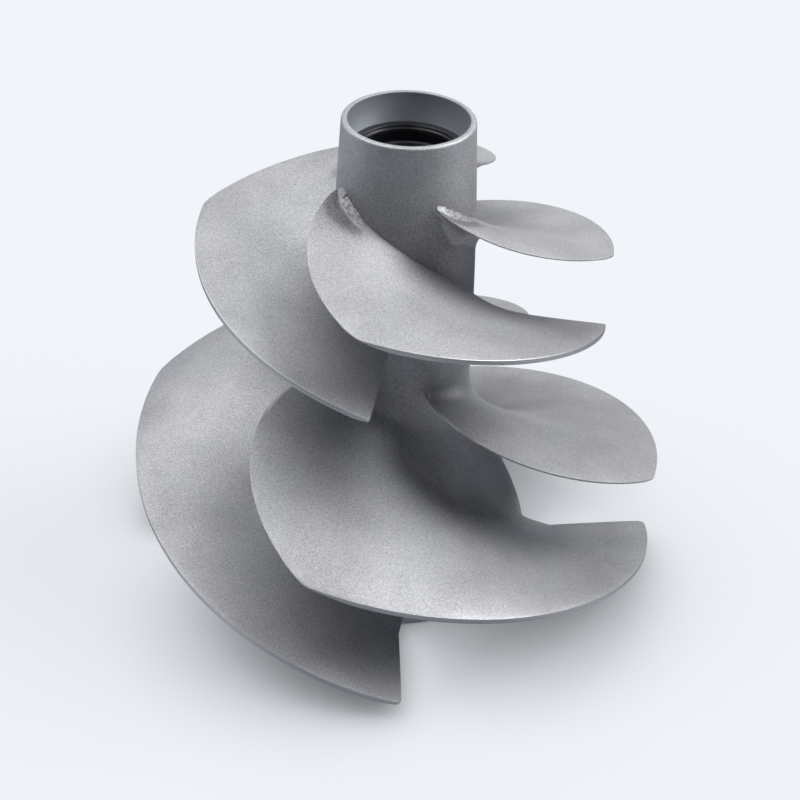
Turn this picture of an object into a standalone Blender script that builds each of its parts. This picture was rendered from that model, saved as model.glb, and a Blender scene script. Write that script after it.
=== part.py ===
# Personal watercraft impeller: a hub that flares to the rear, a front row and a rear row of
# four helical blades each, and the black rubber seal ring in the hub's front counterbore.
# The real hub and blades are one steel casting. Here each blade is a solid of its own that
# stands a hair off the hub, so that collision can follow the passages between the blades.
# Lengths are in millimetres and turned into metres where points are made.
# Z is the shaft axis: the rear face is at z = 0 and the front rim is at the top.

import math

import bmesh
import bpy
from mathutils import Vector

MM = 0.001
MERGE_DISTANCE = 0.00001

# Hub, outside.
TOTAL_HEIGHT = 144.5
RIM_RADIUS = 18.15
WAIST_RADIUS = 20.7
WAIST_HEIGHT = 63.5
REAR_RADIUS = 41.5
TAPER_POWER = 1.9
RIM_ROUND = 0.6
RIM_INNER_CHAMFER = 0.3
REAR_CHAMFER = 1.0
HUB_SIDES = 64
TAPER_RINGS = 7
FLARE_RINGS = 12

# Hub, inside.
COUNTERBORE_RADIUS = 16.45
COUNTERBORE_DEPTH = 13.3
BORE_RADIUS = 12.7
BORE_CHAMFER = 0.8
RECESS_INNER_RADIUS = 21.0
RECESS_OUTER_RADIUS = 35.0
RECESS_DEPTH = 16.0
RECESS_OUTER_DRAFT = 6.0
RECESS_INNER_DRAFT = 1.0

# Seal ring.
SEAL_GAP = 0.3
SEAL_HEIGHT = 4.4
SEAL_INNER_RADIUS = 13.9
SEAL_STEP_RADIUS = 13.4
SEAL_STEP_DROP = 0.9
SEAL_CHAMFER = 0.3
SEAL_SIDES = 40

# Blades. Angles are in degrees about the shaft, from the side that faces -Y, growing towards +X.
# An edge's drop and sweep are powers: 1 is a straight change from root to tip.
# Towards each end of the chord, fillets and thickness shrink to the first share over the second.
BLADES_IN_ROW = 4
ROOT_GAP = 0.3
ROOT_CUTS = 4
LOWEST_POINT = 0.4
FILLET_POWER = 2.6
THIN_POWER = 1.3
ROOT_SAG_POWER = 3.0
FILLET_ENDS = ((0.15, 0.15), (0.4, 0.15))
THICK_ENDS = ((0.45, 0.18), (0.55, 0.15))
SLOPE_STEP = 0.02
ROOT_TRIES = 30
ROOT_STEP = 0.6
CHORD_CROWDING = 0.6
SPAN_CROWDING = 0.35
ROWS = {
    "front": {
        "leadRadius": 58.1, "trailRadius": 58.4, "rootRadius": 21.0, "leadCorner": 2.5, "trailCorner": 1.5,
        "leadRootAngle": -65.2, "leadTipAngle": -11.4, "leadSweep": 1.075,
        "leadRootHeight": 127.2, "leadTipHeight": 111.1, "leadDrop": 1.04,
        "trailRootAngle": 83.6, "trailTipAngle": 82.8,
        "trailRootHeight": 91.0, "trailTipHeight": 86.75, "trailDrop": 5.0,
        "sag": 0.28, "rootSag": 0.28, "sagSkew": 0.03, "edgeThick": 1.25, "rootThick": 3.2,
        "upperFillet": 2.5, "lowerFillet": 4.5, "chordSteps": 20, "spanSteps": 9,
    },
    "rear": {
        "leadRadius": 78.3, "trailRadius": 79.5, "rootRadius": 24.0, "leadCorner": 2.5, "trailCorner": 3.0,
        "leadRootAngle": -67.6, "leadTipAngle": -17.5, "leadSweep": 1.6,
        "leadRootHeight": 67.5, "leadTipHeight": 44.3, "leadDrop": 2.0,
        "trailRootAngle": 93.4, "trailTipAngle": 93.0,
        "trailRootHeight": 1.75, "trailTipHeight": 6.1, "trailDrop": 1.2,
        "sag": 0.27, "rootSag": 0.85, "sagSkew": -0.08, "edgeThick": 1.35, "rootThick": 4.0,
        "upperFillet": 7.0, "lowerFillet": 7.0, "chordSteps": 24, "spanSteps": 10,
    },
}

# Finish: colour, metallic value and roughness.
STEEL = ((0.46, 0.46, 0.47, 1.0), 0.85, 0.6)
RUBBER = ((0.02, 0.02, 0.022, 1.0), 0.0, 0.35)
SHARP_ANGLE = 38.0


def clamp(x):
    return min(1.0, max(0.0, x))


def smoothStep(x):
    x = clamp(x)
    return x * x * (3.0 - 2.0 * x)


def mix(start, end, share):
    return start + (end - start) * share


def hubRadius(height):
    """Outer radius of the hub: a slight taper, then the flare towards the rear."""
    if height >= WAIST_HEIGHT:
        share = (height - WAIST_HEIGHT) / (TOTAL_HEIGHT - WAIST_HEIGHT)
        return mix(WAIST_RADIUS, RIM_RADIUS, share ** TAPER_POWER)
    return mix(WAIST_RADIUS, REAR_RADIUS, smoothStep(1.0 - height / WAIST_HEIGHT))


def leadEdge(row, radius):
    share = max(0.0, (radius - row["rootRadius"]) / (row["leadRadius"] - row["rootRadius"]))
    angle = mix(row["leadRootAngle"], row["leadTipAngle"], share ** row["leadSweep"])
    height = mix(row["leadRootHeight"], row["leadTipHeight"], share ** row["leadDrop"])
    return angle, height


def trailEdge(row, radius):
    share = clamp((radius - row["rootRadius"]) / (row["trailRadius"] - row["rootRadius"]))
    angle = mix(row["trailRootAngle"], row["trailTipAngle"], share)
    height = mix(row["trailRootHeight"], row["trailTipHeight"], 1.0 - (1.0 - share) ** row["trailDrop"])
    return angle, height


def faceAngle(row, chord, radius):
    return mix(leadEdge(row, radius)[0], trailEdge(row, radius)[0], chord)


def faceHeight(row, chord, radius):
    """Height of the upper face, with chord running 0 to 1 from the leading to the trailing edge."""
    share = clamp((radius - row["rootRadius"]) / (row["leadRadius"] - row["rootRadius"]))
    sag = mix(row["sag"], row["rootSag"], (1.0 - share) ** ROOT_SAG_POWER)
    bow = chord * (chord - 1.0) * (sag + row["sagSkew"] * (2.0 * chord - 1.0))
    return mix(leadEdge(row, radius)[1], trailEdge(row, radius)[1], chord + bow)


def slopeFactor(row, chord, radius):
    """Upright thickness for each unit of true thickness, from the slope along the chord."""
    low = max(0.0, chord - SLOPE_STEP)
    high = min(1.0, chord + SLOPE_STEP)
    arc = math.radians(faceAngle(row, high, radius) - faceAngle(row, low, radius)) * radius
    rise = faceHeight(row, high, radius) - faceHeight(row, low, radius)
    return math.hypot(1.0, rise / arc)


def tipRadius(row, chord):
    """Tip radius along the chord, with a rounded corner at each end."""
    radius = mix(row["leadRadius"], row["trailRadius"], chord)
    length = math.radians(row["trailTipAngle"] - row["leadTipAngle"]) * row["trailRadius"]
    for corner, run in ((row["leadCorner"], chord * length), (row["trailCorner"], (1.0 - chord) * length)):
        if run < corner:
            radius -= corner - math.sqrt(corner * corner - (corner - run) ** 2)
    return radius


def endShare(ends, chord):
    share = 1.0
    for (least, run), way in zip(ends, (chord, 1.0 - chord)):
        share *= mix(least, 1.0, smoothStep(way / run))
    return share


def fillet(row, chord, gap, below):
    """Build-up beside the hub."""
    full = row["lowerFillet"] if below else row["upperFillet"]
    size = full * endShare(FILLET_ENDS, chord)
    return size * (1.0 - clamp(gap / size)) ** FILLET_POWER


def skinHeight(row, chord, radius, root, below):
    """Height of the upper or lower skin, where root is the skin's own radius at the hub."""
    height = faceHeight(row, chord, radius)
    build = fillet(row, chord, radius - root, below)
    if not below:
        return height + build
    share = clamp((radius - root) / (row["leadRadius"] - root))
    body = mix(row["edgeThick"], row["rootThick"], (1.0 - share) ** THIN_POWER)
    thick = max(row["edgeThick"], body * endShare(THICK_ENDS, chord))
    return max(LOWEST_POINT, height - thick * slopeFactor(row, chord, radius) - build)


def rootRadiusAt(row, chord, below):
    """Radius at which a skin meets the hub, found by stepping part way to the hub's own radius."""
    radius = row["rootRadius"]
    for _ in range(ROOT_TRIES):
        seat = hubRadius(skinHeight(row, chord, radius, radius, below)) + ROOT_GAP
        radius = mix(radius, seat, ROOT_STEP)
    return radius


def bladePoint(row, chord, span, below):
    root = rootRadiusAt(row, chord, below)
    radius = mix(root, tipRadius(row, chord), span)
    angle = math.radians(faceAngle(row, chord, radius))
    height = skinHeight(row, chord, radius, root, below)
    return Vector((radius * math.sin(angle), -radius * math.cos(angle), height)) * MM


def chordAt(share):
    """Closer steps at both ends, where the tip corners turn."""
    return share - CHORD_CROWDING * math.sin(2.0 * math.pi * share) / (2.0 * math.pi)


def spanAt(share):
    """Closer steps near the hub, where the fillet turns."""
    return mix(share, share * share, SPAN_CROWDING)


def meshFrom(bm, name):
    mesh = bpy.data.meshes.new(name)
    bm.to_mesh(mesh)
    bm.free()
    return mesh


def onlyVerts(items):
    return [item for item in items if isinstance(item, bmesh.types.BMVert)]


def bladeMesh(name, row):
    """A flat grid, the upper skin, is extruded to make the lower one, then both are laid out.
    Along the grid runs the chord and across it the span. The strip at the root is cut finer
    and pressed onto the hub's curve."""
    bm = bmesh.new()
    bmesh.ops.create_grid(bm, x_segments=row["chordSteps"], y_segments=row["spanSteps"], size=0.5)
    bmesh.ops.translate(bm, verts=bm.verts, vec=(0.5, 0.5, 0.0))
    grown = bmesh.ops.extrude_face_region(bm, geom=bm.faces[:])
    lower = set(onlyVerts(grown["geom"]))
    root = {vert for vert in bm.verts if vert.co.y < 0.5 / row["spanSteps"]}
    risers = [edge for edge in bm.edges
              if root.issuperset(edge.verts) and len(lower.intersection(edge.verts)) == 1]
    for vert in bm.verts:
        vert.co = bladePoint(row, chordAt(vert.co.x), spanAt(vert.co.y), vert in lower)
    cut = bmesh.ops.subdivide_edges(bm, edges=risers, cuts=ROOT_CUTS, use_grid_fill=True)
    for vert in onlyVerts(cut["geom_inner"]):
        seat = (hubRadius(vert.co.z / MM) + ROOT_GAP) * MM
        scale = seat / vert.co.xy.length
        vert.co.x *= scale
        vert.co.y *= scale
    bmesh.ops.recalc_face_normals(bm, faces=bm.faces)
    return meshFrom(bm, name)


def addObject(name, mesh):
    thing = bpy.data.objects.new(name, mesh)
    bpy.context.scene.collection.objects.link(thing)
    return thing


def turnProfile(name, points, sides):
    """A closed profile in the XZ plane, turned about Z."""
    bm = bmesh.new()
    ring = [bm.verts.new((radius * MM, 0.0, height * MM)) for radius, height in points]
    edges = [bm.edges.new((ring[index - 1], ring[index])) for index in range(len(ring))]
    bmesh.ops.spin(bm, geom=ring + edges, axis=(0.0, 0.0, 1.0), cent=(0.0, 0.0, 0.0),
                   angle=2.0 * math.pi, steps=sides, use_merge=True)
    bmesh.ops.remove_doubles(bm, verts=bm.verts, dist=MERGE_DISTANCE)
    bmesh.ops.recalc_face_normals(bm, faces=bm.faces)
    return meshFrom(bm, name)


def hubProfile():
    """Outside from rim to rear, then the rear recess, then the bore back up to the rim."""
    shoulder = TOTAL_HEIGHT - COUNTERBORE_DEPTH
    top = TOTAL_HEIGHT - RIM_ROUND
    heights = [mix(top, WAIST_HEIGHT, step / TAPER_RINGS) for step in range(TAPER_RINGS)]
    heights += [mix(WAIST_HEIGHT, REAR_CHAMFER, step / FLARE_RINGS) for step in range(FLARE_RINGS + 1)]
    points = [(RIM_RADIUS - RIM_ROUND, TOTAL_HEIGHT)]
    points += [(hubRadius(height), height) for height in heights]
    points += [
        (REAR_RADIUS - REAR_CHAMFER, 0.0),
        (RECESS_OUTER_RADIUS, 0.0),
        (RECESS_OUTER_RADIUS - RECESS_OUTER_DRAFT, RECESS_DEPTH),
        (RECESS_INNER_RADIUS + RECESS_INNER_DRAFT, RECESS_DEPTH),
        (RECESS_INNER_RADIUS, 0.0),
        (BORE_RADIUS + BORE_CHAMFER, 0.0),
        (BORE_RADIUS, BORE_CHAMFER),
        (BORE_RADIUS, shoulder - BORE_CHAMFER),
        (BORE_RADIUS + BORE_CHAMFER, shoulder),
        (COUNTERBORE_RADIUS, shoulder),
        (COUNTERBORE_RADIUS, TOTAL_HEIGHT - RIM_INNER_CHAMFER),
        (COUNTERBORE_RADIUS + RIM_INNER_CHAMFER, TOTAL_HEIGHT),
    ]
    return points


def sealProfile():
    """Flat under and outside, chamfered at the top, with a small step in its inner edge."""
    foot = TOTAL_HEIGHT - COUNTERBORE_DEPTH + SEAL_GAP
    top = foot + SEAL_HEIGHT
    step = top - SEAL_STEP_DROP
    outer = COUNTERBORE_RADIUS - SEAL_GAP
    return [
        (outer, foot),
        (outer, top - SEAL_CHAMFER),
        (outer - SEAL_CHAMFER, top),
        (SEAL_INNER_RADIUS + SEAL_CHAMFER, top),
        (SEAL_INNER_RADIUS, top - SEAL_CHAMFER),
        (SEAL_INNER_RADIUS, step),
        (SEAL_STEP_RADIUS + SEAL_CHAMFER, step),
        (SEAL_STEP_RADIUS, step - SEAL_CHAMFER),
        (SEAL_STEP_RADIUS, foot),
    ]


def finish(thing, colour, metallic, roughness):
    material = bpy.data.materials.new(thing.name + "_material")
    material.use_nodes = True
    shader = material.node_tree.nodes["Principled BSDF"]
    shader.inputs["Base Color"].default_value = colour
    shader.inputs["Metallic"].default_value = metallic
    shader.inputs["Roughness"].default_value = roughness
    material.diffuse_color = colour
    thing.data.materials.append(material)
    thing.data.shade_smooth()
    thing.data.set_sharp_from_angle(angle=math.radians(SHARP_ANGLE))


def main():
    for thing in list(bpy.data.objects):
        bpy.data.objects.remove(thing, do_unlink=True)

    hub = addObject("hub", turnProfile("hub", hubProfile(), HUB_SIDES))
    finish(hub, *STEEL)

    for label, row in ROWS.items():
        for index in range(BLADES_IN_ROW):
            name = label + "_blade_" + str(index + 1)
            blade = addObject(name, bladeMesh(name, row))
            blade.rotation_euler.z = 2.0 * math.pi * index / BLADES_IN_ROW
            finish(blade, *STEEL)

    seal = addObject("bore_seal_ring", turnProfile("bore_seal_ring", sealProfile(), SEAL_SIDES))
    finish(seal, *RUBBER)


main()
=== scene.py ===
import math

import bmesh
import bpy
from mathutils import Matrix, Vector


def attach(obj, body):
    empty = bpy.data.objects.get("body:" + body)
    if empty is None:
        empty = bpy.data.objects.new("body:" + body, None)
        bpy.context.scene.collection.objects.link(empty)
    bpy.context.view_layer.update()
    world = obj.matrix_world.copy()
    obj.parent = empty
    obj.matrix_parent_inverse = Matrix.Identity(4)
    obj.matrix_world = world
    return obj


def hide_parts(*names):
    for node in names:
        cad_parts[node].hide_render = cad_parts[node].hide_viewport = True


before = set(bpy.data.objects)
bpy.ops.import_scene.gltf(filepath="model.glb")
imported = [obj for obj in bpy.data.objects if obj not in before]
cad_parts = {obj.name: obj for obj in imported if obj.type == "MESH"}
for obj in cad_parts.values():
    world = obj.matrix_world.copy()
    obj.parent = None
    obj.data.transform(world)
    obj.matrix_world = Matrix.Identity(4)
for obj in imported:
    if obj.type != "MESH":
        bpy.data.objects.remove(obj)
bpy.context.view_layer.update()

# Shapes are laid out in millimetres and scaled to metres when a mesh is finished.
# Z is the shaft axis, with the rear face at 0. Angles run from the -Y side towards +X.
mm = 0.001
shaftAxis = (0.0, 0.0, 1.0)
middle = (0.0, 0.0, 0.0)
mergeDistance = 0.01
ringMargin = 0.02


def clamp(x):
    return min(1.0, max(0.0, x))


def smoothStep(x):
    x = clamp(x)
    return x * x * (3.0 - 2.0 * x)


def mix(start, end, share):
    return start + (end - start) * share


# Shared mesh steps

def turnProfile(points, sides):
    # points are (radius, height) round the closed section
    bm = bmesh.new()
    ring = [bm.verts.new((radius, 0.0, height)) for radius, height in points]
    edges = [bm.edges.new((ring[i - 1], ring[i])) for i in range(len(ring))]
    bmesh.ops.spin(bm, geom=ring + edges, axis=shaftAxis, cent=middle,
                   angle=2.0 * math.pi, steps=sides, use_merge=True)
    bmesh.ops.remove_doubles(bm, verts=bm.verts, dist=mergeDistance)
    return bm


def roundRing(bm, radius, height, width, segments):
    # bevels the one turned edge that runs at this radius and height
    ring = [edge for edge in bm.edges
            if all(abs(vert.co.xy.length - radius) < ringMargin and abs(vert.co.z - height) < ringMargin
                   for vert in edge.verts)]
    bmesh.ops.bevel(bm, geom=ring, offset=width, affect="EDGES", segments=segments, profile=0.5,
                    material=-1)


def finishPiece(bm, name, material, node, marks=None):
    bmesh.ops.recalc_face_normals(bm, faces=bm.faces)
    if marks:
        for label, rule in marks.items():
            layer = bm.verts.layers.float.new(label)
            for vert in bm.verts:
                vert[layer] = rule(vert)
    bmesh.ops.scale(bm, verts=bm.verts, vec=(mm, mm, mm))
    mesh = bpy.data.meshes.new(name)
    bm.to_mesh(mesh)
    bm.free()
    mesh.shade_smooth()
    mesh.materials.append(material)
    piece = bpy.data.objects.new(name, mesh)
    bpy.context.scene.collection.objects.link(piece)
    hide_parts(node)
    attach(piece, "root")


# Materials

def newMaterial(name):
    material = bpy.data.materials.new(name)
    material.use_nodes = True
    tree = material.node_tree
    shader = tree.nodes["Principled BSDF"]
    place = tree.nodes.new("ShaderNodeTexCoord")
    return material, tree, shader, place.outputs["Object"]


def addNoise(tree, place, scale, detail, roughness):
    noise = tree.nodes.new("ShaderNodeTexNoise")
    noise.inputs["Scale"].default_value = scale
    noise.inputs["Detail"].default_value = detail
    noise.inputs["Roughness"].default_value = roughness
    tree.links.new(place, noise.inputs["Vector"])
    return noise.outputs["Fac"]


def addRange(tree, source, fromLow, fromHigh, toLow, toHigh, way="LINEAR"):
    node = tree.nodes.new("ShaderNodeMapRange")
    node.interpolation_type = way
    node.inputs["From Min"].default_value = fromLow
    node.inputs["From Max"].default_value = fromHigh
    node.inputs["To Min"].default_value = toLow
    node.inputs["To Max"].default_value = toHigh
    tree.links.new(source, node.inputs["Value"])
    return node.outputs["Result"]


def addMath(tree, operation, first, second):
    node = tree.nodes.new("ShaderNodeMath")
    node.operation = operation
    for socket, value in zip(node.inputs, (first, second)):
        if isinstance(value, (int, float)):
            socket.default_value = value
        else:
            tree.links.new(value, socket)
    return node.outputs["Value"]


def addMixColour(tree, share, first, second, blend="MIX", clamped=True):
    node = tree.nodes.new("ShaderNodeMix")
    node.data_type = "RGBA"
    node.blend_type = blend
    node.clamp_factor = clamped
    if isinstance(share, (int, float)):
        node.inputs[0].default_value = share
    else:
        tree.links.new(share, node.inputs[0])
    for socket, value in ((node.inputs[6], first), (node.inputs[7], second)):
        if isinstance(value, tuple):
            socket.default_value = value
        else:
            tree.links.new(value, socket)
    return node.outputs[2]


def addMark(tree, label):
    node = tree.nodes.new("ShaderNodeAttribute")
    node.attribute_name = label
    return node.outputs["Fac"]


def addBump(tree, height, strength, distance, under=None):
    node = tree.nodes.new("ShaderNodeBump")
    node.inputs["Strength"].default_value = strength
    node.inputs["Distance"].default_value = distance
    tree.links.new(height, node.inputs["Height"])
    if under:
        tree.links.new(under, node.inputs["Normal"])
    return node.outputs["Normal"]


steelFinish = {
    # a noise is its scale, detail and roughness, and a range is the stretch of a noise that is used
    "dark": (0.40, 0.40, 0.41, 1.0), "light": (0.64, 0.64, 0.645, 1.0), "pit": (0.26, 0.26, 0.27, 1.0),
    "warm": (1.01, 0.998, 1.006, 1.0), "cool": (0.99, 1.002, 1.012, 1.0),
    "ground": (0.57, 0.575, 0.585, 1.0), "groove": (0.25, 0.25, 0.26, 1.0),
    # the second colour on the next line is a painted shade, near black, for the dark inside of the bore
    "turned": (0.3, 0.32, 0.35, 1.0), "paintedBoreShade": (0.06, 0.065, 0.075, 1.0),
    # the bright colour on the next line is the machined tip's, and near the hub it is also a painted
    # highlight on the leading edge
    "machinedAndHighlight": (0.78, 0.765, 0.75, 1.0),
    "metallic": 0.5, "groundMetallic": 0.42, "turnedMetallic": 0.4, "machinedAndHighlightMetallic": 0.85,
    "roughness": (0.46, 0.56), "groundRoughness": 0.56, "turnedRoughness": 0.62, "machinedAndHighlightRoughness": 0.4,
    "grainNoise": (2100.0, 3.0, 0.65), "mottleNoise": (55.0, 4.0, 0.55), "tintNoise": (38.0, 2.0, 0.5),
    "streakNoise": (1.0, 3.0, 0.5), "pitNoise": (1300.0, 0.0, 0.5),
    "speckleRange": (0.34, 0.66), "mottleRange": (0.35, 0.65), "tintRange": (0.4, 0.6),
    "streakRange": (0.42, 0.56), "pitRange": (0.135, 0.12), "roughRange": (0.3, 0.7), "mottleShade": 0.2,
    "grainBump": 0.8, "grainDepth": 0.00012, "pitBump": 0.4, "pitDepth": 0.00012,
}


def makeBlastedSteel(finish):
    material, tree, shader, place = newMaterial("blasted_cast_steel")
    grain = addNoise(tree, place, *finish["grainNoise"])
    mottle = addNoise(tree, place, *finish["mottleNoise"])
    pits = addNoise(tree, place, *finish["pitNoise"])
    ground = addMark(tree, "ground")
    turned = addMark(tree, "turned")
    paintedBoreShade = addMark(tree, "paintedBoreShade")
    machinedAndHighlight = addMark(tree, "machinedAndHighlight")

    speckle = addRange(tree, grain, *finish["speckleRange"], 0.0, 1.0)
    broad = addRange(tree, mottle, *finish["mottleRange"], -finish["mottleShade"], finish["mottleShade"])
    # this mark adds painted light and painted shade to the colour: on the hub, and in the front blades'
    # hollows
    shade = addMath(tree, "ADD", addMath(tree, "ADD", speckle, broad), addMark(tree, "paintedLightAndShade"))
    colour = addMixColour(tree, shade, finish["dark"], finish["light"], clamped=False)
    tint = addRange(tree, addNoise(tree, place, *finish["tintNoise"]), *finish["tintRange"], 0.0, 1.0)
    tint = addMixColour(tree, tint, finish["warm"], finish["cool"])
    colour = addMixColour(tree, 1.0, colour, tint, "MULTIPLY")
    colour = addMixColour(tree, turned, colour, finish["turned"])
    # the bore's painted shade
    colour = addMixColour(tree, paintedBoreShade, colour, finish["paintedBoreShade"])
    # the ground strips have bright streaks along them and dull grooves between
    strip = tree.nodes.new("ShaderNodeCombineXYZ")
    tree.links.new(addMark(tree, "across"), strip.inputs["X"])
    tree.links.new(addMark(tree, "along"), strip.inputs["Y"])
    streaks = addNoise(tree, strip.outputs["Vector"], *finish["streakNoise"])
    bright = addRange(tree, streaks, *finish["streakRange"], 0.0, 1.0)
    worn = addMath(tree, "MULTIPLY", ground, bright)
    streaked = addMixColour(tree, bright, finish["groove"], finish["ground"])
    colour = addMixColour(tree, ground, colour, streaked)
    # machined tips, and a painted highlight on the leading edge near the hub
    colour = addMixColour(tree, machinedAndHighlight, colour, finish["machinedAndHighlight"])
    pit = addMath(tree, "MULTIPLY", addRange(tree, pits, *finish["pitRange"], 0.0, 1.0),
                  addMath(tree, "SUBTRACT", 1.0, turned))
    colour = addMixColour(tree, pit, colour, finish["pit"])
    tree.links.new(colour, shader.inputs["Base Color"])

    low, high = finish["roughness"]
    rough = addRange(tree, grain, *finish["roughRange"], high, low)
    metal = finish["metallic"]
    for mark, label in ((turned, "turned"), (worn, "ground"), (machinedAndHighlight, "machinedAndHighlight")):
        change = addMath(tree, "MULTIPLY", mark, finish[label + "Roughness"] - high)
        rough = addMath(tree, "ADD", rough, change)
        change = addMath(tree, "MULTIPLY", mark, finish[label + "Metallic"] - finish["metallic"])
        metal = addMath(tree, "ADD", metal, change)
    tree.links.new(rough, shader.inputs["Roughness"])
    tree.links.new(metal, shader.inputs["Metallic"])

    # a few shallow casting pits under the fine blasted grain
    pitted = addBump(tree, addMath(tree, "SUBTRACT", 1.0, pit), finish["pitBump"], finish["pitDepth"])
    grained = addBump(tree, grain, finish["grainBump"], finish["grainDepth"], pitted)
    tree.links.new(grained, shader.inputs["Normal"])
    return material


rubberFinish = {
    "colour": (0.012, 0.013, 0.015, 1.0), "dusty": (0.035, 0.036, 0.04, 1.0), "roughness": (0.22, 0.42),
    "smearNoise": (160.0, 3.0, 0.5), "grainNoise": (1500.0, 2.0, 0.5),
    "dustRange": (0.4, 0.7), "roughRange": (0.3, 0.7), "grainBump": 0.12, "grainDepth": 0.00005,
}


def makeSealRubber(finish):
    material, tree, shader, place = newMaterial("seal_ring_rubber")
    smear = addNoise(tree, place, *finish["smearNoise"])
    grain = addNoise(tree, place, *finish["grainNoise"])
    share = addRange(tree, smear, *finish["dustRange"], 0.0, 1.0)
    tree.links.new(addMixColour(tree, share, finish["colour"], finish["dusty"]), shader.inputs["Base Color"])
    low, high = finish["roughness"]
    tree.links.new(addRange(tree, smear, *finish["roughRange"], low, high), shader.inputs["Roughness"])
    tree.links.new(addBump(tree, grain, finish["grainBump"], finish["grainDepth"]), shader.inputs["Normal"])
    return material


blastedSteel = makeBlastedSteel(steelFinish)
sealRubber = makeSealRubber(rubberFinish)
print("materials made")


# Hub

hub = {
    "height": 144.5, "rimRadius": 18.15, "waistRadius": 20.7, "waistHeight": 63.5, "rearRadius": 41.5,
    "taperPower": 1.9, "rimRound": 0.75, "rimInnerRound": 0.35, "rearRound": 1.0,
    "counterboreRadius": 16.45, "counterboreDepth": 13.3, "boreRadius": 12.7, "boreRound": 0.6,
    "recessInner": 21.0, "recessOuter": 35.0, "recessDepth": 16.0, "recessOuterDraft": 6.0,
    "recessInnerDraft": 1.0, "recessRound": 2.5,
    "rimTurned": 0.5, "rimMargin": 0.05, "boreMargin": 0.1,
    # pale and dull set the hub's painted light towards the rim and its painted shade under the front blades
    "pale": 0.3, "paintedLightFrom": (118.0, 138.0), "dull": -0.6, "paintedShadeFrom": (80.0, 98.0),
    "sides": 160, "taperRings": 40, "flareRings": 44,
    "outerSegments": 4, "innerSegments": 3, "recessSegments": 5,
}


def hubRadius(height):
    if height >= hub["waistHeight"]:
        share = (height - hub["waistHeight"]) / (hub["height"] - hub["waistHeight"])
        return mix(hub["waistRadius"], hub["rimRadius"], share ** hub["taperPower"])
    return mix(hub["waistRadius"], hub["rearRadius"], smoothStep(1.0 - height / hub["waistHeight"]))


def makeHub(size, material):
    top = size["height"]
    shoulder = top - size["counterboreDepth"]
    waist = size["waistHeight"]
    heights = [mix(top, waist, step / size["taperRings"]) for step in range(size["taperRings"])]
    heights += [mix(waist, 0.0, step / size["flareRings"]) for step in range(size["flareRings"] + 1)]
    points = [(hubRadius(height), height) for height in heights]
    recessTop = size["recessDepth"]
    outerTop = size["recessOuter"] - size["recessOuterDraft"]
    innerTop = size["recessInner"] + size["recessInnerDraft"]
    points += [
        (size["recessOuter"], 0.0), (outerTop, recessTop), (innerTop, recessTop), (size["recessInner"], 0.0),
        (size["boreRadius"], 0.0), (size["boreRadius"], shoulder),
        (size["counterboreRadius"], shoulder), (size["counterboreRadius"], top),
    ]
    bm = turnProfile(points, size["sides"])
    for radius, height, width, segments in (
            (size["rimRadius"], top, "rimRound", "outerSegments"),
            (size["counterboreRadius"], top, "rimInnerRound", "innerSegments"),
            (size["boreRadius"], shoulder, "boreRound", "innerSegments"),
            (size["boreRadius"], 0.0, "boreRound", "innerSegments"),
            (size["rearRadius"], 0.0, "rearRound", "outerSegments"),
            (size["recessOuter"], 0.0, "rearRound", "innerSegments"),
            (size["recessInner"], 0.0, "rearRound", "innerSegments"),
            (outerTop, recessTop, "recessRound", "recessSegments"),
            (innerTop, recessTop, "recessRound", "recessSegments")):
        roundRing(bm, radius, height, size[width], size[segments])

    def turnedMark(vert):
        # the counterbore and bore are turned, and the rim's flat land partly
        if vert.co.xy.length < size["counterboreRadius"] + size["boreMargin"]:
            return 1.0
        return size["rimTurned"] if vert.co.z > top - size["rimMargin"] else 0.0

    def paintedBoreShadeMark(vert):
        # the step under the seal and the top of the bore are painted near black, a painted shade for the
        # dark inside, which fades down the bore
        inside = vert.co.xy.length < size["counterboreRadius"] - size["boreMargin"]
        return 1.0 if inside and vert.co.z > size["recessDepth"] else 0.0

    def paintedLightAndShadeMark(vert):
        # painted lighter towards the rim and painted darker under the front blades: a painted light and
        # painted shade on the hub's colour
        low, high = size["paintedLightFrom"]
        paintedLighter = smoothStep((vert.co.z - low) / (high - low))
        low, high = size["paintedShadeFrom"]
        return mix(size["dull"] * smoothStep((vert.co.z - low) / (high - low)), size["pale"], paintedLighter)

    finishPiece(bm, "hub_casting", material, "hub",
                {"turned": turnedMark, "paintedBoreShade": paintedBoreShadeMark, "paintedLightAndShade": paintedLightAndShadeMark})


makeHub(hub, blastedSteel)
print("hub made")


# Blades

frontBlades = {
    "node": "front_blade_", "count": 4,
    "leadRadius": 58.1, "trailRadius": 58.4, "rootRadius": 21.0, "leadCorner": 2.1, "trailCorner": 0.8,
    "leadRootAngle": -65.2, "leadTipAngle": -11.4, "leadSweep": 1.075,
    "leadRootHeight": 127.6, "leadTipHeight": 111.1, "leadDrop": 1.025,
    "trailRootAngle": 83.6, "trailTipAngle": 82.8,
    "trailRootHeight": 91.0, "trailTipHeight": 86.75, "trailDrop": 5.0,
    "sag": 0.28, "rootSag": 0.28, "sagSkew": 0.03, "tipThick": 1.5, "rootThick": 3.2,
    "above": {
        "reach": 1.9, "reachEnds": ((0.3, 0.07), (0.8, 0.15)),
        "rise": 0.5, "riseEnds": ((0.6, 0.06), (0.8, 0.15)),
    },
    "below": {
        "reach": 4.2, "reachEnds": ((0.25, 0.2), (0.4, 0.15)),
        "rise": 5.5, "riseEnds": ((0.2, 0.2), (0.4, 0.15)),
    },
    "scoop": {
        "depth": 1.15, "inner": 1.9, "edge": (9.5, 5.5), "lead": (0.45, 0.08), "run": (0.15, 0.26),
        # dull and its fade paint the hollow darker, a painted shade
        "dull": -0.9, "paintedShadeFade": 3.0,
    },
    "strip": {"run": (0.18, 0.3), "lead": (0.3, 0.05)}, "trailFlat": (0.0, 0.1), "paintedHighlightRadius": 0.0,
    "roundedBlade": None,
    "edgeRound": 0.22, "chordSteps": 100, "spanSteps": 40, "filletSteps": 15,
}
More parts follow.
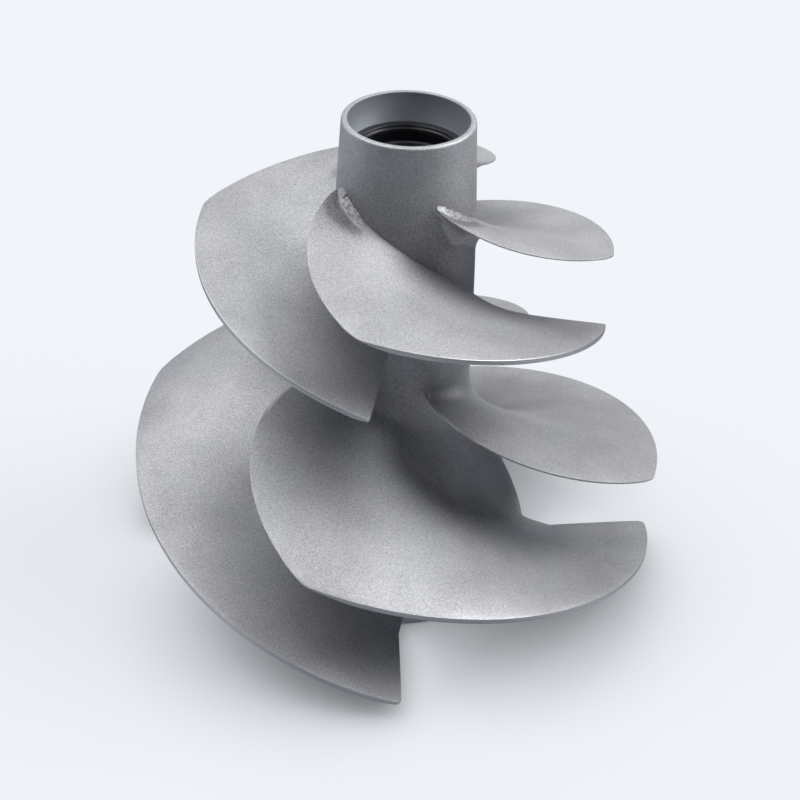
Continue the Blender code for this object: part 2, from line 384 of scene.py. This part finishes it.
rearBlades = {
    "node": "rear_blade_", "count": 4,
    "leadRadius": 78.3, "trailRadius": 79.35, "rootRadius": 24.0, "leadCorner": 2.0, "trailCorner": 2.2,
    "leadRootAngle": -67.6, "leadTipAngle": -17.5, "leadSweep": 1.6,
    "leadRootHeight": 67.5, "leadTipHeight": 44.3, "leadDrop": 2.0,
    "trailRootAngle": 93.4, "trailTipAngle": 93.0,
    "trailRootHeight": 1.75, "trailTipHeight": 6.1, "trailDrop": 1.2,
    "sag": 0.27, "rootSag": 0.85, "sagSkew": -0.08, "tipThick": 1.5, "rootThick": 4.0,
    "above": {
        "reach": 6.0, "reachEnds": ((0.6, 0.22), (1.4, 0.15)),
        "rise": 7.0, "riseEnds": ((0.35, 0.22), (0.5, 0.15)),
    },
    "below": {
        "reach": 5.0, "reachEnds": ((0.06, 0.25), (0.4, 0.15)),
        "rise": 6.0, "riseEnds": ((0.06, 0.25), (0.4, 0.15)),
    },
    "scoop": None, "strip": None, "trailFlat": (0.85, 0.13), "paintedHighlightRadius": 44.0,
    "roundedBlade": {"number": 3, "corner": 9.0},
    "edgeRound": 0.24, "chordSteps": 120, "spanSteps": 48, "filletSteps": 16,
}
bladeShape = {
    "rootSagPower": 3, "thinPower": 1.3, "thickEnds": ((0.45, 0.18), (0.55, 0.15)),
    "leadThick": 0.5, "leadRun": 0.1, "trailThick": 0.9, "trailRun": 0.05,
    "slopeStep": 0.02, "tiltStep": 0.2, "chordCrowding": 0.55, "spanCrowding": 1.15,
    "lowestPoint": 0.4, "leastRise": 0.05, "sink": 0.05, "skirt": 1.0, "skirtSink": 0.45,
    "rootTries": 40, "rootStep": 0.6, "streaksAcross": 6.5, "streaksAlong": 42.0,
    "paintedHighlightRun": 0.009, "shineDrop": 0.35, "leadLine": 0.0001, "edgeSegments": 3,
}


def leadEdge(row, radius):
    share = max(0.0, (radius - row["rootRadius"]) / (row["leadRadius"] - row["rootRadius"]))
    angle = mix(row["leadRootAngle"], row["leadTipAngle"], share ** row["leadSweep"])
    return angle, mix(row["leadRootHeight"], row["leadTipHeight"], share ** row["leadDrop"])


def trailEdge(row, radius):
    share = clamp((radius - row["rootRadius"]) / (row["trailRadius"] - row["rootRadius"]))
    angle = mix(row["trailRootAngle"], row["trailTipAngle"], share)
    return angle, mix(row["trailRootHeight"], row["trailTipHeight"], 1.0 - (1.0 - share) ** row["trailDrop"])


def faceAngle(row, chord, radius):
    return mix(leadEdge(row, radius)[0], trailEdge(row, radius)[0], chord)


def faceHeight(row, chord, radius):
    share = clamp((radius - row["rootRadius"]) / (row["leadRadius"] - row["rootRadius"]))
    sag = mix(row["sag"], row["rootSag"], (1.0 - share) ** bladeShape["rootSagPower"])
    bow = chord * (chord - 1.0) * (sag + row["sagSkew"] * (2.0 * chord - 1.0))
    return mix(leadEdge(row, radius)[1], trailEdge(row, radius)[1], chord + bow)


def faceSlope(row, chord, radius):
    # rise for each millimetre along the chord
    low = max(0.0, chord - bladeShape["slopeStep"])
    high = min(1.0, chord + bladeShape["slopeStep"])
    arc = math.radians(faceAngle(row, high, radius) - faceAngle(row, low, radius)) * radius
    return (faceHeight(row, high, radius) - faceHeight(row, low, radius)) / arc


def endShare(ends, chord):
    share = 1.0
    for (least, run), way in zip(ends, (chord, 1.0 - chord)):
        share *= mix(least, 1.0, smoothStep(way / run))
    return share


def tipRadius(row, chord):
    radius = mix(row["leadRadius"], row["trailRadius"], chord)
    length = math.radians(row["trailTipAngle"] - row["leadTipAngle"]) * row["trailRadius"]
    for corner, run in ((row["leadCorner"], chord * length), (row["trailCorner"], (1.0 - chord) * length)):
        if run < corner:
            radius -= corner - math.sqrt(corner * corner - (corner - run) ** 2)
    return radius


def scoopShare(scoop, chord, gap):
    # the hollow ground into the leading edge beside the hub, 1 where it is deepest, next to the strip
    start, end = scoop["run"]
    least, run = scoop["lead"]
    along = mix(least, 1.0, smoothStep(chord / run))
    along *= 1.0 - smoothStep((chord - start) / (end - start))
    edge = mix(*scoop["edge"], clamp(chord / end))
    return along * clamp((edge - gap) / (edge - scoop["inner"]))


def skinHeight(row, chord, radius, below):
    # the upper or lower skin without its fillet
    height = faceHeight(row, chord, radius)
    if row["scoop"]:
        height -= row["scoop"]["depth"] * scoopShare(row["scoop"], chord, radius - hubRadius(height))
    if not below:
        return height
    share = clamp((radius - row["rootRadius"]) / (row["leadRadius"] - row["rootRadius"]))
    body = mix(row["tipThick"], row["rootThick"], (1.0 - share) ** bladeShape["thinPower"])
    thick = max(row["tipThick"], body * endShare(bladeShape["thickEnds"], chord))
    for edge, run, way in (("leadThick", "leadRun", chord), ("trailThick", "trailRun", 1.0 - chord)):
        thick = mix(bladeShape[edge], thick, smoothStep(way / bladeShape[run]))
    height -= thick * math.hypot(1.0, faceSlope(row, chord, radius))
    return max(bladeShape["lowestPoint"], height)


def stripShare(strip, chord):
    # 1 where the fillet is ground to a flat strip at the leading edge, 0 where it is as cast
    if not strip:
        return 0.0
    start, end = strip["run"]
    return 1.0 - smoothStep((chord - start) / (end - start))


def groundShare(strip, chord):
    # how far the strip's finish is ground, less so at its very start
    if not strip:
        return 0.0
    least, run = strip["lead"]
    return stripShare(strip, chord) * mix(least, 1.0, smoothStep(chord / run))


def rootPlan(row, chord, below):
    # where one skin line leaves its fillet, and the fillet's guide points as (degrees, height, radius)
    root = row["rootRadius"]
    for _ in range(bladeShape["rootTries"]):
        root = mix(root, hubRadius(skinHeight(row, chord, root, below)), bladeShape["rootStep"])
    fillet = row["below"] if below else row["above"]
    reach = fillet["reach"] * endShare(fillet["reachEnds"], chord)
    rise = fillet["rise"] * endShare(fillet["riseEnds"], chord)
    start = root + reach
    ahead = start + bladeShape["tiltStep"]
    foot = (faceAngle(row, chord, start), skinHeight(row, chord, start, below), start)
    turn = (faceAngle(row, chord, ahead) - foot[0]) / bladeShape["tiltStep"]
    tilt = (skinHeight(row, chord, ahead, below) - foot[1]) / bladeShape["tiltStep"]
    corner = (foot[0] - turn * reach, foot[1] - tilt * reach, root - bladeShape["sink"])
    slope = faceSlope(row, chord, root)
    side = -1.0 if below else 1.0
    lean = math.hypot(1.0, slope)
    if below:
        rise = min(rise, max(bladeShape["leastRise"], corner[1] - bladeShape["lowestPoint"]) * lean)
    elif row["scoop"]:
        # the strip is the hollow's wall, so it still ends where the face itself would meet the hub
        rise += (faceHeight(row, chord, root) - corner[1]) * lean
    ends = []
    for along, sink in ((rise, bladeShape["sink"]), (rise + bladeShape["skirt"], bladeShape["skirtSink"])):
        height = max(bladeShape["lowestPoint"], corner[1] + side * along / lean)
        angle = corner[0] - math.degrees(side * slope * along / lean / root)
        ends.append((angle, height, hubRadius(height) - sink))
    flat = 0.0
    if not below:
        most, run = row["trailFlat"]
        flat = max(stripShare(row["strip"], chord), most * (1.0 - smoothStep((1.0 - chord) / run)))
    corner = tuple(mix(guide, (low + high) / 2.0, flat) for guide, low, high in zip(corner, foot, ends[0]))
    return start, foot, corner, ends[0], ends[1]


def bladePoint(row, chord, step, below, plans):
    key = (round(chord, 6), below)
    if key not in plans:
        plans[key] = rootPlan(row, chord, below)
    start, foot, corner, seat, skirt = plans[key]
    fillets = row["filletSteps"]
    if step == 0:
        angle, height, radius = skirt
    elif step <= fillets:
        t = 1.0 - (step - 1) / (fillets - 1)
        angle, height, radius = (
            (1.0 - t) ** 2 * a + 2.0 * t * (1.0 - t) * b + t * t * c for a, b, c in zip(foot, corner, seat))
    else:
        share = (step - fillets) / (row["spanSteps"] - fillets)
        radius = mix(start, tipRadius(row, chord), share ** bladeShape["spanCrowding"])
        angle = faceAngle(row, chord, radius)
        height = skinHeight(row, chord, radius, below)
    marks = {"ground": 0.0, "across": 0.0, "along": 0.0, "machinedAndHighlight": 0.0, "paintedLightAndShade": 0.0}
    if not below and 0 < step <= fillets:
        marks["ground"] = groundShare(row["strip"], chord)
        marks["across"] = (step - 1) / (fillets - 1) * bladeShape["streaksAcross"]
        marks["along"] = (chord + 1.0) * bladeShape["streaksAlong"]
    elif not below and row["scoop"]:
        scoop = row["scoop"]
        # the hollow is painted darker, a painted shade beside the hub
        hollow = scoopShare(scoop, chord, radius - hubRadius(height))
        marks["paintedLightAndShade"] = scoop["dull"] * smoothStep(scoop["paintedShadeFade"] * hollow)
    if step == row["spanSteps"]:
        marks["machinedAndHighlight"] = 1.0
    elif not below and chord < bladeShape["paintedHighlightRun"] and radius < row["paintedHighlightRadius"]:
        # the leading edge is dressed to a narrow flat near the hub, and its bright colour is a painted
        # highlight along the edge
        marks["machinedAndHighlight"] = 1.0
        if chord < bladeShape["leadLine"]:
            height -= bladeShape["shineDrop"]
    turn = math.radians(angle)
    return Vector((radius * math.sin(turn), -radius * math.cos(turn), height)), marks


def chordAt(share):
    return share - bladeShape["chordCrowding"] * math.sin(2.0 * math.pi * share) / (2.0 * math.pi)


def layBlade(row):
    # a flat grid is the upper skin, with the chord along X and the span along Y
    # its extruded copy is the lower skin
    bm = bmesh.new()
    layers = {}
    for label in ("ground", "across", "along", "machinedAndHighlight", "paintedLightAndShade"):
        layers[label] = bm.verts.layers.float.new(label)
    bmesh.ops.create_grid(bm, x_segments=row["chordSteps"], y_segments=row["spanSteps"], size=0.5)
    bmesh.ops.translate(bm, verts=bm.verts, vec=(0.5, 0.5, 0.0))
    grown = bmesh.ops.extrude_face_region(bm, geom=bm.faces[:])
    lower = {item for item in grown["geom"] if isinstance(item, bmesh.types.BMVert)}
    rims = [edge for edge in bm.edges
            if len(lower.intersection(edge.verts)) != 1
            and any(len(lower.intersection(face.verts)) == 2 for face in edge.link_faces)
            and not all(vert.co.y < 0.5 / row["spanSteps"] for vert in edge.verts)]
    plans = {}
    for vert in bm.verts:
        step = round(vert.co.y * row["spanSteps"])
        vert.co, marks = bladePoint(row, chordAt(vert.co.x), step, vert in lower, plans)
        for label, value in marks.items():
            vert[layers[label]] = value
    bmesh.ops.recalc_face_normals(bm, faces=bm.faces)
    bmesh.ops.bevel(bm, geom=rims, offset=row["edgeRound"], affect="EDGES",
                    segments=bladeShape["edgeSegments"], profile=0.5, material=-1, clamp_overlap=True)
    # the machined mark, which near the hub is also the edge's painted highlight, stays on the tip's wall and
    # comes off the skins beside it
    machinedAndHighlight = layers["machinedAndHighlight"]
    marked = {vert for vert in bm.verts if vert[machinedAndHighlight] > 0.5}
    beside = [vert for vert in marked
              if vert.co.xy.length > row["paintedHighlightRadius"]
              and any(not marked.issuperset(face.verts) for face in vert.link_faces)]
    for vert in beside:
        vert[machinedAndHighlight] = 0.0
    return bm


def makeBlades(row, material):
    for index in range(row["count"]):
        rounded = row["roundedBlade"]
        if rounded and rounded["number"] == index + 1:
            bm = layBlade({**row, "trailCorner": rounded["corner"]})
        else:
            bm = layBlade(row)
        bmesh.ops.rotate(bm, verts=bm.verts, cent=middle,
                         matrix=Matrix.Rotation(2.0 * math.pi * index / row["count"], 3, "Z"))
        node = row["node"] + str(index + 1)
        finishPiece(bm, node + "_casting", material, node)
    print(row["node"] + "1 to", row["count"], "made")


makeBlades(frontBlades, blastedSteel)
makeBlades(rearBlades, blastedSteel)


# Seal ring

seal = {
    "clearance": 0.3, "height": 4.4, "innerRadius": 13.9, "stepRadius": 13.4, "stepDrop": 0.9,
    "round": 0.35, "innerRound": 0.3, "roundSegments": 4, "sides": 128,
}


def makeSeal(size, material):
    foot = hub["height"] - hub["counterboreDepth"] + size["clearance"]
    top = foot + size["height"]
    step = top - size["stepDrop"]
    outer = hub["counterboreRadius"] - size["clearance"]
    bm = turnProfile([(outer, foot), (outer, top), (size["innerRadius"], top), (size["innerRadius"], step),
                      (size["stepRadius"], step), (size["stepRadius"], foot)], size["sides"])
    for radius, height, width in ((outer, top, "round"), (size["innerRadius"], top, "innerRound"),
                                  (size["stepRadius"], step, "innerRound")):
        roundRing(bm, radius, height, size[width], size["roundSegments"])
    finishPiece(bm, "bore_seal", material, "bore_seal_ring")


makeSeal(seal, sealRubber)
print("seal made")


# Stage, light and camera

stage = {
    "floorRadius": 4.0, "floorSides": 96, "floor": (0.165, 0.17, 0.175, 1.0), "floorRoughness": 0.9,
    # the last value on the next line is the reach of the painted contact shadow under the impeller
    "floorGlow": (0.94, 0.98, 1.03, 1.0), "glowStrength": 0.69, "paintedShadowDistance": 0.036,
    "lamp": (0.975, 0.98, 1.0), "glow": (0.78, 0.85, 1.0),
    "patches": (
        # soft patches of light: name, azimuth from the -Y side towards +X, elevation, spread, strength, tint
        ("right", 96.5, 41.0, 27.0, 8.1, "lamp"),
        ("left", 265.0, 62.5, 27.0, 4.5, "lamp"),
        ("back", 175.0, 38.0, 27.0, 1.85, "lamp"),
        ("overhead", 0.0, 90.0, 40.0, 0.55, "lamp"),
        ("low left", 240.0, 12.0, 27.0, 1.5, "glow"),
        # the pale floor's glow on the steel comes from these instead, as the floor itself doesn't light it
        ("floor on the left", 270.0, -35.0, 45.0, 0.57, "glow"),
        ("floor on the right", 90.0, -35.0, 45.0, 0.47, "glow"),
        ("floor in front", 0.0, -35.0, 45.0, 0.38, "glow"),
        ("floor behind", 180.0, -35.0, 45.0, 0.44, "glow"),
    ),
}
view = {
    "distance": 0.43781, "elevation": 25.536, "pan": 0.078, "tilt": 9.875, "roll": 2.255, "lens": 72.95,
    "sensor": 36.0, "nearest": 0.01, "farthest": 20.0, "aimHeight": 0.1445,
}


def makeFloor(size):
    bm = bmesh.new()
    bmesh.ops.create_circle(bm, cap_ends=True, segments=size["floorSides"], radius=size["floorRadius"])
    mesh = bpy.data.meshes.new("floor")
    bm.to_mesh(mesh)
    bm.free()
    material, tree, shader, _ = newMaterial("pale_floor")
    shader.inputs["Base Color"].default_value = size["floor"]
    shader.inputs["Roughness"].default_value = size["floorRoughness"]
    shader.inputs["Emission Color"].default_value = size["floorGlow"]
    # the glow fades where the impeller hangs close over the floor, a painted contact shadow
    paintedShadow = tree.nodes.new("ShaderNodeAmbientOcclusion")
    paintedShadow.inputs["Distance"].default_value = size["paintedShadowDistance"]
    glow = addMath(tree, "MULTIPLY", paintedShadow.outputs["AO"], size["glowStrength"])
    tree.links.new(glow, shader.inputs["Emission Strength"])
    mesh.materials.append(material)
    floor = bpy.data.objects.new("floor", mesh)
    bpy.context.scene.collection.objects.link(floor)
    # the steel doesn't see the floor, and the light from below comes from the world
    floor.visible_diffuse = False
    floor.visible_glossy = False
    floor.visible_shadow = False


def makeLight(size):
    world = bpy.data.worlds.new("studio")
    world.use_nodes = True
    tree = world.node_tree
    background = tree.nodes["Background"]
    direction = tree.nodes.new("ShaderNodeTexCoord").outputs["Generated"]
    total = None
    for name, azimuth, elevation, spread, strength, tint in size["patches"]:
        across = math.radians(azimuth)
        up = math.radians(elevation)
        facing = tree.nodes.new("ShaderNodeVectorMath")
        facing.name = name
        facing.operation = "DOT_PRODUCT"
        facing.inputs[1].default_value = (
            math.cos(up) * math.sin(across), -math.cos(up) * math.cos(across), math.sin(up))
        tree.links.new(direction, facing.inputs[0])
        edge = math.cos(math.radians(spread))
        patch = addRange(tree, facing.outputs["Value"], edge, 1.0, 0.0, strength, "SMOOTHSTEP")
        tinted = tree.nodes.new("ShaderNodeVectorMath")
        tinted.operation = "SCALE"
        tinted.inputs[0].default_value = size[tint]
        tree.links.new(patch, tinted.inputs["Scale"])
        if total is None:
            total = tinted.outputs["Vector"]
        else:
            both = tree.nodes.new("ShaderNodeVectorMath")
            tree.links.new(total, both.inputs[0])
            tree.links.new(tinted.outputs["Vector"], both.inputs[1])
            total = both.outputs["Vector"]
    tree.links.new(total, background.inputs["Color"])
    bpy.context.scene.world = world
    bpy.context.scene.view_settings.view_transform = "Standard"
    print("stage and light set")


def makeCamera(size):
    lens = bpy.data.cameras.new("view")
    lens.lens = size["lens"]
    lens.sensor_width = size["sensor"]
    lens.clip_start = size["nearest"]
    lens.clip_end = size["farthest"]
    camera = bpy.data.objects.new("view", lens)
    up = math.radians(size["elevation"])
    down = math.radians(size["elevation"] + size["tilt"])
    rise = size["distance"] * math.sin(up)
    spot = Vector((0.0, -size["distance"] * math.cos(up), size["aimHeight"] + rise))
    camera.matrix_world = (Matrix.Translation(spot)
                           @ Matrix.Rotation(math.radians(-size["pan"]), 4, "Z")
                           @ Matrix.Rotation(math.pi / 2.0 - down, 4, "X")
                           @ Matrix.Rotation(math.radians(size["roll"]), 4, "Z"))
    bpy.context.scene.collection.objects.link(camera)
    bpy.context.scene.camera = camera
    print("camera placed")


makeFloor(stage)
makeLight(stage)
makeCamera(view)

bpy.context.view_layer.update()
